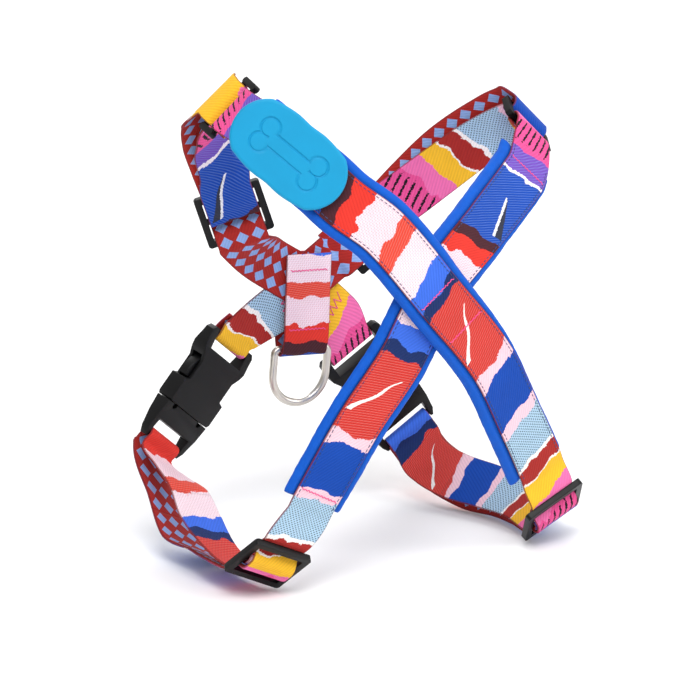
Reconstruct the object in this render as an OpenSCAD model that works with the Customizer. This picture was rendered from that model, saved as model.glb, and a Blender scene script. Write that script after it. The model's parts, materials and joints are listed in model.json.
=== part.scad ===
// Dog walking harness with a padded chest crossing, stood up on its girth loop.
// X runs across the dog, Y from chest to back and Z up, in millimetres.
// The origin is on the floor, under the middle of the harness.

/* [Stance] */
// Distance between the two lower corners of the chest straps
stance_w = 160; // [130:1:200]
// Distance from the chest crossing to the buckles
stance_d = 120; // [100:1:150]
// Height of the upper left corner of the neck opening
stance_h = 230; // [190:1:290]

/* [Webbing] */
// Width of the webbing
web_w = 25; // [20:0.5:32]
// Thickness of the webbing
web_t = 1.3; // [1:0.1:1.6]

/* [Padding] */
// Width of the padded lining
pad_w = 34; // [28:0.5:42]
// Thickness of the padded lining
pad_t = 3.6; // [2.5:0.1:4.6]

/* [Badge] */
// Radius of the two round ends of the badge
badge_r = 17.4; // [15:0.1:20]
// Distance between the centres of the two ends
badge_gap = 28; // [20:0.5:34]
// Thickness of the rubber cap
badge_t = 3.4; // [2.4:0.1:5]

/* [Sliders and rings] */
// Length of a slider along the webbing
slider_len = 27; // [25:0.5:34]
// Length of a neck ring along the webbing
ring_len = 14; // [13:0.5:18]
// Width of a bar or a side rail
bar_w = 3.4; // [2.6:0.1:4]
// Thickness of sliders and rings
bar_t = 3.2; // [2.6:0.1:3.8]

/* [Buckles] */
// Distance from the bar of the tongue to the bar of the socket
buckle_len = 58; // [54:1:66]
// Thickness of the socket
buckle_t = 10; // [9:0.5:13]
// Thickness of the socket's walls
wall = 1.8; // [1.4:0.1:2.2]

/* [Leash ring] */
// Outer width of the leash ring
dee_w = 33.5; // [32:0.5:40]
// Outer height of the leash ring
dee_h = 31; // [27:0.5:38]
// Wire diameter of the leash ring
dee_wire = 3.9; // [3:0.1:4.4]

/* [Hidden] */

// Gap between soft layers, and between webbing and the bars it passes
lay = 0.3;
// Gap between the webbing and its own lining or the badge, which are sewn together
sewn = 0.25;
// Room that a neck ring has inside the webbing loop that it rocks in
rock = 1;
// Room beside the webbing, inside a frame
side = 0.6;
// Longest step between two cross-sections of a strap
step = 6;

// ---- vectors and frames ----
function unit(v) = v / norm(v);
// A frame is [origin, X, Y, Z]: X along the bars, Y along the webbing, Z out of the harness.
function frame(o, x, y) =
    let (X = unit(x), Z = unit(cross(X, y)))
    [o, X, cross(Z, X), Z];
function pt(f, p) = f[0] + p.x * f[1] + p.y * f[2] + p.z * f[3];
// A place in the standing harness, moved with the stance
centre = [-2.2, 8.9, -0.2];
function at(x, y, z) = [x * stance_w / 160, y * stance_d / 120, z * stance_h / 230] - centre;

module place(f) {
    multmatrix([
        [f[1].x, f[2].x, f[3].x, f[0].x],
        [f[1].y, f[2].y, f[3].y, f[0].y],
        [f[1].z, f[2].z, f[3].z, f[0].z],
        [0, 0, 0, 1],
    ]) children();
}

// ---- strap routes ----
// A route is a list of stations [point, width direction, stretch]. The stretch is 0 on a plain
// run; on a fold's crease it says how much longer the slanting cross-section is than the width.
function station(p, w, stretch = 0) = [p, w, stretch];
function run(f, s, yz) = [for (p = yz) station(pt(f, [0, p[0], p[1]]), s * f[1])];
// Round a bar at y0, from angle a0 to a1, 90 being outwards and 0 towards +Y
function hook(f, s, y0, r, a0, a1) =
    [
        for (i = [0:8])
            let (a = a0 + (a1 - a0) * i / 8)
                station(pt(f, [0, y0 + r * cos(a), r * sin(a)]), s * f[1])
    ];

// Height of a layer of webbing that lies on a bar, and of a second layer on the first
bar_lift = bar_t / 2 + lay + web_t / 2;
top_lift = bar_lift + web_t + lay;
half_slider = slider_len / 2;
mouth = half_slider - bar_w;
past = half_slider + 2;

// The running webbing through a slider: under, over the centre bar and under again
weave_half = [
    [top_lift - 1, top_lift], [top_lift + 1.1, top_lift - 1.7],
    [mouth - 2.6, 1.4 - bar_lift], [mouth - 0.4, -bar_lift], [past, -bar_lift],
];
function mirrored(yz) = [for (i = [len(yz) - 1:-1:0]) [-yz[i][0], yz[i][1]]];
function weave(f, s) = run(f, s, concat(mirrored(weave_half), weave_half));
// The end that is sewn round a slider's centre bar, from outside the slider to its tail
function sewn_end(f, s) = concat(
    run(f, s, [
        [past, -top_lift], [mouth - 0.4, -top_lift], [top_lift + 1, 0.3 - top_lift], [2, -bar_lift - 0.1],
    ]),
    hook(f, s, 0, bar_lift, -90, -270),
    run(f, s, [[2.4, bar_lift]])
);

// ---- strap solids ----
function tangent(r, i) = unit(r[min(i + 1, len(r) - 1)][0] - r[max(i - 1, 0)][0]);
function hermite(r, i, u) =
    let (d = norm(r[i + 1][0] - r[i][0]), a = r[i][0], b = r[i + 1][0],
         ta = tangent(r, i) * d, tb = tangent(r, i + 1) * d)
    (2 * u ^ 3 - 3 * u ^ 2 + 1) * a + (u ^ 3 - 2 * u ^ 2 + u) * ta
    + (3 * u ^ 2 - 2 * u ^ 3) * b + (u ^ 3 - u ^ 2) * tb;
function smooth(r) = concat([
    for (i = [0:len(r) - 2])
        let (n = max(1, ceil(norm(r[i + 1][0] - r[i][0]) / step)))
            for (j = [0:n - 1])
                let (u = j / n)
                station(hermite(r, i, u), (1 - u) * r[i][1] + u * r[i + 1][1], j == 0 ? r[i][2] : 0)
], [r[len(r) - 1]]);
// The four corners of a strap's cross-section, lifted off the route
function corners(r, i, w, t, lift) =
    let (T = tangent(r, i), W = unit(r[i][1]), across = W - (W * T) * T,
         half = (r[i][2] > 0 ? W * r[i][2] : W / norm(across)) * w / 2,
         N = unit(cross(T, W)), c = r[i][0] + N * lift, h = N * t / 2)
    [c - half - h, c + half - h, c + half + h, c - half + h];
// A strap of width w and thickness t along a route; the last stations at each end can be narrower
module strap(route, w, t, lift = 0, taper = 1) {
    r = smooth(route);
    n = len(r);
    points = [for (i = [0:n - 1]) each corners(r, i, (i == 0 || i == n - 1) ? w * taper : w, t, lift)];
    sides = [
        for (i = [0:n - 2], j = [0:3])
            let (a = 4 * i + j, b = 4 * i + (j + 1) % 4)
                each [[a, b + 4, b], [a, a + 4, b + 4]]
    ];
    last = 4 * n - 4;
    ends = [[0, 2, 3], [0, 1, 2], [last, last + 2, last + 1], [last, last + 3, last + 2]];
    polyhedron(points, concat(ends, sides), convexity = 8);
}

// ---- where the hardware stands ----
neck_left_ring_at = frame(at(-77, 10, 231), [0.71, -0.16, 0.69], [0.08, 1, 0]);
neck_right_ring_at = frame(at(86, 8, 198), [0.68, -0.03, -0.74], [0.1, 0.8, 0.5]);
neck_left_slider_at = frame(at(-52, 50, 164), [-0.87, 0.39, -0.31], [-0.33, 0, 0.94]);
neck_right_slider_at = frame(at(26, 63, 139), [-0.47, 0.52, 0.71], [0.66, -0.27, 0.7]);
girth_left_slider_at = frame(at(-82, -34, 17), [-0.9, 0, 0.43], [-0.32, 0.68, -0.66]);
girth_right_slider_at = frame(at(76, -34, 17), [-0.9, 0, -0.43], [0.32, 0.68, -0.66]);
left_buckle_at = frame(at(-86.5, 61, 51.5), [-0.733, -0.248, 0.633], [0.753, 0.03, 0.657]);
right_buckle_at = frame(at(54, 66, 33.2), [-0.82, 0.1, -0.56], [-0.56, 0, 0.83]);
// The leash junction's frame looks into the harness: X to its right, Y up
junction = frame(at(-7, 62, 105), [1, 0, -0.1], [0.1, 0.1, 1]);
badge_at = frame(at(-66, -27, 216), [0.67, -0.12, 0.73], [-0.57, 0.56, 0.61]);

// ---- chest straps ----
ring_bar = (ring_len - bar_w) / 2;
// The end folded round a ring's near bar, from its tail to where the strap sets off
function ring_hook(f) = concat(
    run(f, 1, [[-ring_bar - 9, 0.4 - web_t], [-ring_bar - 5, -bar_lift + 0.7]]),
    hook(f, 1, -ring_bar, bar_lift, -90, 90),
    run(f, 1, [[-ring_bar - 4, bar_lift]])
);
strap_a_end = station(at(67, -41, 38), [0.88, 0.01, 0.46]);
strap_b_end = station(at(-65, -42, 40), [0.89, 0, -0.46]);
strap_a = concat(
    ring_hook(neck_left_ring_at),
    run(badge_at, 1, [[22, -1.2], [10, -0.15], [-10, -0.15], [-22, -0.8]]),
    [
        station(at(-46, -45, 194), [0.72, -0.1, 0.69]),
        station(at(-28, -53, 178), [0.77, -0.05, 0.64]),
        station(at(-1, -58, 143), [0.78, 0, 0.62]),
        station(at(29, -55, 106), [0.8, 0.05, 0.6]),
        station(at(49, -49, 71), [0.83, 0.05, 0.55]),
        station(at(64, -43, 44), [0.87, 0.02, 0.48]),
        strap_a_end,
    ]
);
strap_b = concat(
    ring_hook(neck_right_ring_at),
    [
        station(at(77, -10, 186.5), [0.67, -0.17, -0.72]),
        station(at(71, -15.5, 182), [0.67, -0.2, -0.72]),
        station(at(40, -33, 167), [0.72, -0.1, -0.69]),
        station(at(0, -50.5, 143), [0.79, 0, -0.61]),
        station(at(-19, -51.3, 113), [0.8, -0.05, -0.6]),
        station(at(-40, -50, 86), [0.83, -0.05, -0.55]),
        station(at(-56, -45, 57), [0.86, -0.03, -0.5]),
        station(at(-62, -43, 46), [0.88, 0, -0.47]),
        strap_b_end,
    ]
);
// The lining follows its strap from past the ring's loop to just short of the other end
function lined(r) = [for (i = [12:len(r) - 2]) r[i]];
// The webbing that goes on from a strap's end, with a seam between
function next_from(end, next) = station(end[0] + 2 * lay * unit(next[0] - end[0]), end[1]);

// ---- neck and girth webbings ----
function tongue_hook(f) = concat(
    run(f, -1, [[-6, bar_lift]]),
    hook(f, -1, 0, bar_lift, 90, -90),
    run(f, -1, [[-6, -bar_lift]])
);
neck_left = concat(
    weave(neck_left_slider_at, 1),
    [
        station(at(-64, 47, 192), [-0.82, 0.3, -0.45]),
        station(at(-72, 42, 208), [-0.78, 0.25, -0.55]),
        station(at(-78, 33, 225), [-0.73, 0.18, -0.65]),
    ],
    run(neck_left_ring_at, -1, [[ring_bar + 7, bar_lift + rock]]),
    hook(neck_left_ring_at, -1, ring_bar, bar_lift + rock, 90, 270),
    run(neck_left_ring_at, -1, [[ring_bar + 5, -bar_lift - rock]]),
    [
        station(at(-72, 29, 216), [-0.73, 0.18, -0.65]),
        station(at(-68, 38, 204), [-0.78, 0.25, -0.55]),
        station(at(-61, 44, 189), [-0.82, 0.3, -0.45]),
    ],
    sewn_end(neck_left_slider_at, 1)
);
neck_right = concat(
    weave(neck_right_slider_at, 1),
    [
        station(at(47, 51, 164), [-0.5, 0.46, 0.72]),
        station(at(60, 40, 182), [-0.55, 0.35, 0.74]),
        station(at(74, 29, 196), [-0.6, 0.22, 0.75]),
        station(at(86, 21, 204), [-0.65, 0.1, 0.75]),
    ],
    run(neck_right_ring_at, -1, [[ring_bar + 3, bar_lift + rock]]),
    hook(neck_right_ring_at, -1, ring_bar, bar_lift + rock, 90, 270),
    run(neck_right_ring_at, -1, [[ring_bar + 3, -bar_lift - rock]]),
    [
        station(at(71, 27, 187), [-0.6, 0.22, 0.75]),
        station(at(57, 38, 173), [-0.55, 0.35, 0.74]),
        station(at(44, 49, 159), [-0.5, 0.46, 0.72]),
    ],
    sewn_end(neck_right_slider_at, 1)
);
girth_left = concat(
    [next_from(strap_b_end, weave(girth_left_slider_at, -1)[0])],
    weave(girth_left_slider_at, -1),
    [
        station(at(-88, -4, 8), [0.9, 0, -0.43]),
        station(at(-87, 14, 7.1), [0.88, 0, -0.47]),
        station(at(-88.6, 37, 8.9), [0.93, 0.08, -0.38]),
        station(at(-87.2, 56.6, 24.4), [0.85, 0.2, -0.5]),
    ],
    tongue_hook(left_buckle_at),
    [
        station(at(-87, 51.5, 40), [0.83, 0.23, -0.51]),
        station(at(-85.6, 36.4, 34.8), [0.93, 0.16, -0.32]),
        station(at(-88.5, 19, 26), [0.96, 0.02, -0.27]),
        station(at(-89.5, 2, 18), [0.92, 0, -0.39]),
    ],
    sewn_end(girth_left_slider_at, -1)
);
girth_right = concat(
    [next_from(strap_a_end, weave(girth_right_slider_at, -1)[0])],
    weave(girth_right_slider_at, -1),
    [
        station(at(82, -4, 8), [0.86, 0.05, 0.48]),
        station(at(80, 14, 8.8), [0.75, 0.15, 0.6]),
        station(at(72, 34, 9.6), [0.68, 0.22, 0.68]),
        station(at(63, 56, 17), [0.72, 0.1, 0.66]),
    ],
    tongue_hook(right_buckle_at),
    [
        station(at(59, 55, 20), [0.72, 0.1, 0.66]),
        station(at(63, 38, 16), [0.68, 0.22, 0.68]),
        station(at(72, 18, 14), [0.75, 0.15, 0.6]),
        station(at(79, -2, 12), [0.86, 0.05, 0.48]),
    ],
    sewn_end(girth_right_slider_at, -1)
);

// ---- back webbings, folded at the junction ----
pitch = web_t + lay;
// Direction of v in the junction's plane
function in_plane(v) = unit(v - (v * junction[3]) * junction[3]);
// A flat stretch under the tab: the station at a reach from k towards a far point, w giving its sense
function arm(k, far, reach, w) =
    let (d = in_plane(far - k), c = cross(junction[3], d))
    station(k + reach * d, c * sign(c * w));
// Crossing to the next layer up at a crease k, between an arm from a and an arm to b. w is the
// width direction on the way in, and out leads past the crease.
function fold(k, a, b, w, out) =
    let (t_in = -in_plane(a - k), t_out = in_plane(b - k), along = unit(t_in + t_out),
         c = along * sign(along * w), stretch = 1 / norm(cross(t_in, c)), up = junction[3] * pitch)
    [
        station(k, c, stretch),
        station(k + (out * pitch + up) / 2, c, stretch),
        station(k + up, c, stretch),
    ];
function folded(k, a, b, reach_in, reach_out, w_in, w_out, out) = concat(
    [arm(k, a, reach_in, w_in)],
    fold(k, a, b, w_in, out),
    [arm(k + junction[3] * pitch, b, reach_out, w_out), station(b, w_out)]
);
function socket_hook(f) = concat(
    run(f, -1, [[buckle_len + 11, pitch - bar_lift + 0.5], [buckle_len + 5, bar_lift - 0.8]]),
    hook(f, -1, buckle_len, bar_lift, 90, 270),
    run(f, -1, [[buckle_len + 4, -bar_lift]])
);
left_crease = pt(junction, [6, 10, pitch / 2 + 0.12]);
left_neck_start = pt(neck_left_slider_at, [0, -past - 1, -bar_lift]);
back_left = concat(
    socket_hook(left_buckle_at),
    folded(left_crease, pt(junction, [-40, -8, 0]), left_neck_start, 22, 29,
        -left_buckle_at[1], neck_left_slider_at[1], junction[1])
);
right_crease = pt(junction, [-2, 12, -1.5 * pitch]);
right_neck_start = pt(neck_right_slider_at, [0, -past - 1, -bar_lift]);
back_right = concat(
    socket_hook(right_buckle_at),
    folded(right_crease, pt(junction, [38, -18, 0]), right_neck_start, 28, 22,
        -right_buckle_at[1], neck_right_slider_at[1], -junction[1])
);
// Leash tab, round the junction and the ring's bar
tab_top = 28;
dee_bar_y = -19;
tab_lift = 2 * pitch + web_t / 2 + lay;
tab_r = dee_wire / 2 + lay + web_t / 2;
tab = concat(
    run(junction, 1, [[tab_top, tab_lift], [0, tab_lift], [dee_bar_y + 5, tab_lift]]),
    hook(junction, 1, dee_bar_y, tab_r, 90, 270),
    run(junction, 1, [[dee_bar_y + 5, -tab_lift], [0, -tab_lift], [tab_top, -tab_lift]])
);

module strap_a_webbing() { color([0.9, 0.25, 0.2]) strap(strap_a, web_w, web_t); }
module strap_b_webbing() { color([0.1, 0.3, 0.8]) strap(strap_b, web_w, web_t); }
lining_lift = -(web_t + pad_t) / 2 - sewn;
module lining(r) { color([0.04, 0.45, 0.8]) strap(lined(r), pad_w, pad_t, lining_lift, 0.9); }
module strap_a_lining() { lining(strap_a); }
module strap_b_lining() { lining(strap_b); }
module neck_left_webbing() { color([0.5, 0.3, 0.7]) strap(neck_left, web_w, web_t); }
module neck_right_webbing() { color([0.5, 0.3, 0.7]) strap(neck_right, web_w, web_t); }
module back_left_webbing() { color([0.95, 0.75, 0.2]) strap(back_left, web_w, web_t); }
module back_right_webbing() { color([0.95, 0.75, 0.2]) strap(back_right, web_w, web_t); }
module girth_left_webbing() { color([0.8, 0.3, 0.3]) strap(girth_left, web_w, web_t); }
module girth_right_webbing() { color([0.8, 0.3, 0.3]) strap(girth_right, web_w, web_t); }
module leash_tab() { color([0.9, 0.5, 0.6]) strap(tab, web_w, web_t); }

// ---- badge ----
module figure_eight(r, h) {
    linear_extrude(h) union() {
        translate([0, -badge_gap / 2]) circle(r, $fn = 64);
        translate([0, badge_gap / 2]) circle(r, $fn = 64);
        square([2 * r - 3, badge_gap], center = true);
    }
}
badge_seat = web_t / 2 + sewn;
module badge_cap() {
    color([0.12, 0.68, 0.9]) place(badge_at) translate([0, 0, badge_seat]) figure_eight(badge_r, badge_t);
}

// ---- sliders and rings ----
frame_w = web_w + 2 * (side + bar_w);
module round_bar(y, length) {
    translate([0, y, 0]) rotate([0, 90, 0]) cylinder(h = length, d = bar_t, center = true, $fn = 32);
}
// A moulded frame of outer length l, with round bars across it at the listed places
module moulded_frame(l, bars) {
    r = bar_w / 2;
    for (sx = [-1, 1]) translate([sx * (frame_w / 2 - r), 0, 0]) {
        cube([bar_w, l - bar_w, bar_t], center = true);
        for (sy = [-1, 1]) translate([0, sy * (l / 2 - r), 0])
            cylinder(h = bar_t, r = r, center = true, $fn = 32);
    }
    for (y = bars) round_bar(y, frame_w - bar_w);
}
module slider_piece() {
    color([0.06, 0.06, 0.06]) {
        moulded_frame(slider_len, [0]);
        for (sy = [-1, 1]) translate([0, sy * (slider_len - bar_w) / 2, 0])
            cube([frame_w - bar_w, bar_w, bar_t], center = true);
    }
}
module ring_piece() { color([0.06, 0.06, 0.06]) moulded_frame(ring_len, [-ring_bar, ring_bar]); }
module neck_left_ring() { place(neck_left_ring_at) ring_piece(); }
module neck_right_ring() { place(neck_right_ring_at) ring_piece(); }
module neck_left_slider() { place(neck_left_slider_at) slider_piece(); }
module neck_right_slider() { place(neck_right_slider_at) slider_piece(); }
module girth_left_slider() { place(girth_left_slider_at) slider_piece(); }
module girth_right_slider() { place(girth_right_slider_at) slider_piece(); }

// ---- leash ring ----
dee_at = frame(pt(junction, [0, dee_bar_y, 0]), junction[1], [0, 0, 1]);
dee_r = (dee_w - dee_wire) / 2;
dee_leg = dee_h - dee_wire - dee_r;
module leash_ring() {
    color([0.75, 0.74, 0.72]) place(dee_at) {
        rotate([0, 90, 0]) cylinder(h = 2 * dee_r, d = dee_wire, center = true, $fn = 48);
        for (sx = [-1, 1]) {
            translate([sx * dee_r, 0, 0]) sphere(d = dee_wire, $fn = 48);
            translate([sx * dee_r, 0, 0]) rotate([90, 0, 0]) cylinder(h = dee_leg, d = dee_wire, $fn = 48);
        }
        translate([0, -dee_leg, 0]) rotate([0, 0, 180]) rotate_extrude(angle = 180, $fn = 96)
            translate([dee_r, 0]) circle(d = dee_wire, $fn = 48);
    }
}

// ---- side-release buckles; Y runs from the tongue's bar to the socket's bar ----
buckle_half = frame_w / 2 + 0.3;
slot_half = web_w / 2 + side;
slot_len = 8;
base_end = 18;
mouth_y = base_end + 0.4;
cavity_end = buckle_len - slot_len - 1.6;
cavity_half = buckle_half - wall;
recess_half = cavity_half - 1.4;
socket_end = buckle_len + bar_t / 2 + 0.4;
// The prongs: root pin, arm and barb
prong_x = cavity_half - 4.2;
prong_r = 1.5;
prong_arm = 2.4;
prong_t = buckle_t - 2 * wall - 1;
root_y = base_end - 0.8;
tip_y = cavity_end - 2.6;
latch_y = tip_y - 13.5;
barb_out = buckle_half - 0.5;
prong_fit = 0.05;
// Mirrored outline from its points on the +X side
module outline(half) { polygon(concat(half, [for (i = [len(half) - 1:-1:0]) [-half[i].x, half[i].y]])); }
// A solid with one outline seen along Z and another seen along X
module moulded(plan, side_view) {
    intersection() {
        translate([0, 0, -buckle_t]) linear_extrude(2 * buckle_t) outline(plan);
        rotate([90, 0, 90]) translate([0, 0, -frame_w]) linear_extrude(2 * frame_w) polygon(concat(
            side_view, [for (i = [len(side_view) - 1:-1:0]) [side_view[i].x, -side_view[i].y]]
        ));
    }
}
module socket_piece() {
    color([0.05, 0.05, 0.05]) {
        difference() {
            moulded(
                [
                    [buckle_half - 1, mouth_y], [buckle_half, mouth_y + 1.5], [buckle_half, latch_y - 1.4],
                    [recess_half, latch_y - 0.4], [recess_half, tip_y - 3.5], [buckle_half + 0.8, cavity_end + 1],
                    [buckle_half + 1, cavity_end + 4], [buckle_half + 1, socket_end - 2],
                    [buckle_half - 0.6, socket_end],
                ],
                [
                    [mouth_y, buckle_t / 2], [cavity_end - 2, buckle_t / 2],
                    [buckle_len - 4, bar_t / 2 + 1.6], [socket_end, bar_t / 2 + 0.8],
                ]
            );
            translate([-cavity_half, mouth_y - 1, wall - buckle_t / 2])
                cube([2 * cavity_half, cavity_end - mouth_y + 1, buckle_t - 2 * wall]);
            translate([-slot_half, buckle_len - slot_len, -buckle_t])
                cube([2 * slot_half, slot_len + 9, 2 * buckle_t]);
        }
        round_bar(buckle_len, 2 * slot_half + 2);
    }
}
module tongue_piece() {
    color([0.05, 0.05, 0.05]) {
        difference() {
            moulded(
                [
                    [buckle_half - 2.4, -bar_t / 2 - 0.4], [buckle_half - 0.8, 1.4],
                    [buckle_half, base_end - 8], [buckle_half, base_end],
                ],
                [
                    [-bar_t / 2 - 0.4, bar_t / 2 + 0.3], [4, bar_t / 2 + 1], [base_end - 9, buckle_t / 2 - 1.6],
                    [base_end, buckle_t / 2 - 0.6],
                ]
            );
            translate([-slot_half, -9, -buckle_t]) cube([2 * slot_half, slot_len + 9, 2 * buckle_t]);
            for (sx = [-1, 1]) translate([sx * prong_x, root_y, 0]) {
                cylinder(h = 2 * buckle_t, r = prong_r + prong_fit, center = true, $fn = 32);
            }
        }
        round_bar(0, 2 * slot_half + 2);
        // Centre guide
        translate([-2.5, base_end - 1, -2]) cube([5, tip_y - base_end - 4, 4]);
        translate([0, tip_y - 5, 0]) cylinder(h = 4, r = 2.5, center = true, $fn = 32);
    }
}
module prong_piece(sx) {
    color([0.05, 0.05, 0.05]) {
        translate([sx * prong_x, root_y, 0]) cylinder(h = prong_t, r = prong_r, center = true, $fn = 32);
        translate([0, 0, -prong_t / 2]) linear_extrude(prong_t) polygon([
            for (p = [
                [prong_x - prong_arm / 2, root_y], [prong_x + prong_arm / 2, root_y],
                [prong_x + prong_arm / 2, latch_y - 1], [barb_out - 0.6, latch_y],
                [barb_out, latch_y + 2], [barb_out, latch_y + 4.5], [barb_out - 1.8, latch_y + 9],
                [prong_x + 0.8, tip_y - 0.6], [prong_x - 0.4, tip_y], [prong_x - prong_arm / 2, tip_y - 1],
            ]) [sx * p.x, p.y]
        ]);
    }
}
module left_buckle_socket() { place(left_buckle_at) socket_piece(); }
module left_buckle_tongue() { place(left_buckle_at) tongue_piece(); }
module left_buckle_prong_a() { place(left_buckle_at) prong_piece(-1); }
module left_buckle_prong_b() { place(left_buckle_at) prong_piece(1); }
module right_buckle_socket() { place(right_buckle_at) socket_piece(); }
module right_buckle_tongue() { place(right_buckle_at) tongue_piece(); }
module right_buckle_prong_a() { place(right_buckle_at) prong_piece(-1); }
module right_buckle_prong_b() { place(right_buckle_at) prong_piece(1); }

strap_a_webbing();
strap_a_lining();
strap_b_webbing();
strap_b_lining();
badge_cap();
neck_left_ring();
neck_right_ring();
neck_left_slider();
neck_right_slider();
neck_left_webbing();
neck_right_webbing();
back_left_webbing();
back_right_webbing();
leash_tab();
leash_ring();
girth_left_slider();
girth_right_slider();
girth_left_webbing();
girth_right_webbing();
left_buckle_socket();
left_buckle_tongue();
left_buckle_prong_a();
left_buckle_prong_b();
right_buckle_socket();
right_buckle_tongue();
right_buckle_prong_a();
right_buckle_prong_b();
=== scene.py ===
"""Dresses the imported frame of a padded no-pull dog harness: webbing, linings, badge and hardware."""

from __future__ import annotations

import json
import logging
import math
from contextlib import contextmanager
from dataclasses import dataclass, field
from enum import Enum
from typing import Any, Callable, Iterator, Sequence

import bmesh
import bpy
import numpy as np
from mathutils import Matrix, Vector

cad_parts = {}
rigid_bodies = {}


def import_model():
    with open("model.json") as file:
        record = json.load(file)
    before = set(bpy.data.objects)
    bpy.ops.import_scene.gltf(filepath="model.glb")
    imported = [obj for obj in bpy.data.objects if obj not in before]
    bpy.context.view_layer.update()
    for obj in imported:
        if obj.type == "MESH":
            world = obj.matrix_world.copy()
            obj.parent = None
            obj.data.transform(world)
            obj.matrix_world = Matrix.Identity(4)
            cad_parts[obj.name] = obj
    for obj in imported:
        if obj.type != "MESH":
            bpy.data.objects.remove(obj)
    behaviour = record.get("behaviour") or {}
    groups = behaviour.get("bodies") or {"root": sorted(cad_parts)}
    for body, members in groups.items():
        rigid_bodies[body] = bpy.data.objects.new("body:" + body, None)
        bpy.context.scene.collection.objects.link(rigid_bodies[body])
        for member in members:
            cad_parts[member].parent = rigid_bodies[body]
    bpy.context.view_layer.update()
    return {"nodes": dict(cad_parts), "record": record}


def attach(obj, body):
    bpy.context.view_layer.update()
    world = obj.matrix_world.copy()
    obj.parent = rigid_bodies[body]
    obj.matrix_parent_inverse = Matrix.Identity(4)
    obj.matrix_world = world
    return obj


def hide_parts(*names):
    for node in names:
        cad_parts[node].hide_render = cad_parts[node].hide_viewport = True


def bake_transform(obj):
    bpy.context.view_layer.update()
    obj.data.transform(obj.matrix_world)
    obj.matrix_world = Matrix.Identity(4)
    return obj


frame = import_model()

log = logging.getLogger("harness")
MM = 0.001
CENTRE = np.array([-2.2, 8.9, -0.2])

# Sizes of the webbing and the moulded parts, in millimetres
WEB_W, WEB_T = 25.0, 1.3
PAD_W, PAD_T = 34.0, 3.6
BAR_W, BAR_T = 3.4, 3.2
LAY, SEWN, ROCK, STEP = 0.3, 0.25, 1.0, 6.0
SLIDER_LEN, RING_LEN = 27.0, 14.0
BUCKLE_LEN = 58.0
DEE_WIRE, DEE_W, DEE_H = 3.9, 33.5, 31.0
BAR_LIFT = BAR_T / 2 + LAY + WEB_T / 2
TOP_LIFT = BAR_LIFT + WEB_T + LAY
HALF_SLIDER = SLIDER_LEN / 2
MOUTH = HALF_SLIDER - BAR_W
PAST = HALF_SLIDER + 2
RING_BAR = (RING_LEN - BAR_W) / 2
PITCH = WEB_T + LAY
ON_WEB = WEB_T / 2 + 0.02
EDGE_ROW, HOOK_STATIONS = 11.0, 12


# ---- vectors, frames and routes ----


def unit(v: Sequence[float]) -> np.ndarray:
    """Returns v at length 1."""
    a = np.asarray(v, float)
    return a / np.linalg.norm(a)


def at(x: float, y: float, z: float) -> np.ndarray:
    """Returns a place in the standing harness, in millimetres from its origin."""
    return np.array([x, y, z]) - CENTRE


@dataclass(frozen=True)
class Seat:
    """A frame that a part sits in: X along its bars, Y along the webbing, Z out of the harness."""

    origin: np.ndarray
    x: np.ndarray
    y: np.ndarray
    z: np.ndarray

    @classmethod
    def of(cls, origin: np.ndarray, x: Sequence[float], y: Sequence[float]) -> "Seat":
        """Makes a seat from its origin, its bars' direction and roughly the webbing's direction.

        Args:
            origin: Place of the seat, in millimetres.
            x: Direction of the bars.
            y: Rough direction of the webbing.

        Returns:
            The seat with square axes.
        """
        ux = unit(x)
        uz = unit(np.cross(ux, y))
        return cls(np.asarray(origin, float), ux, np.cross(uz, ux), uz)

    def pt(self, px: float, py: float, pz: float) -> np.ndarray:
        """Returns the place of local coordinates, in millimetres."""
        return self.origin + px * self.x + py * self.y + pz * self.z

    def metres(self, px: float, py: float, pz: float) -> tuple[float, float, float]:
        """Returns the place of local coordinates, in metres."""
        return tuple(float(c) * MM for c in self.pt(px, py, pz))


@dataclass(frozen=True)
class Station:
    """One cross-section that a strap passes: its place, width direction and stretch on a crease."""

    p: np.ndarray
    w: np.ndarray
    stretch: float = 0.0


Route = list[Station]


def st(p: Sequence[float], w: Sequence[float], stretch: float = 0.0) -> Station:
    """Returns a station at p with width direction w."""
    return Station(np.asarray(p, float), np.asarray(w, float), stretch)


def run(f: Seat, s: int, yz: Sequence[tuple[float, float]]) -> Route:
    """Returns flat stations at the listed (y, z) of a seat."""
    return [st(f.pt(0, y, z), s * f.x) for y, z in yz]


def hook(f: Seat, s: int, y0: float, r: float, a0: float, a1: float) -> Route:
    """Returns stations round a bar.

    Args:
        f: Seat of the bar.
        s: Sense of the width direction.
        y0: Place of the bar along Y.
        r: Radius of the webbing's middle round the bar.
        a0: First angle, 90 being outwards.
        a1: Last angle.

    Returns:
        Nine stations from a0 to a1.
    """
    turn = [math.radians(a0 + (a1 - a0) * i / 8) for i in range(9)]
    return [st(f.pt(0, y0 + r * math.cos(a), r * math.sin(a)), s * f.x) for a in turn]


WEAVE_HALF = [
    (TOP_LIFT - 1, TOP_LIFT),
    (TOP_LIFT + 1.1, TOP_LIFT - 1.7),
    (MOUTH - 2.6, 1.4 - BAR_LIFT),
    (MOUTH - 0.4, -BAR_LIFT),
    (PAST, -BAR_LIFT),
]


def weave(f: Seat, s: int) -> Route:
    """Returns the running webbing through a slider: under, over the centre bar and under again."""
    return run(f, s, [(-y, z) for y, z in reversed(WEAVE_HALF)] + WEAVE_HALF)


def sewn_end(f: Seat, s: int) -> Route:
    """Returns the end that is sewn round a slider's centre bar."""
    way_in = [(PAST, -TOP_LIFT), (MOUTH - 0.4, -TOP_LIFT), (TOP_LIFT + 1, 0.3 - TOP_LIFT), (2, -BAR_LIFT - 0.1)]
    return run(f, s, way_in) + hook(f, s, 0, BAR_LIFT, -90, -270) + run(f, s, [(2.4, BAR_LIFT)])


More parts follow.
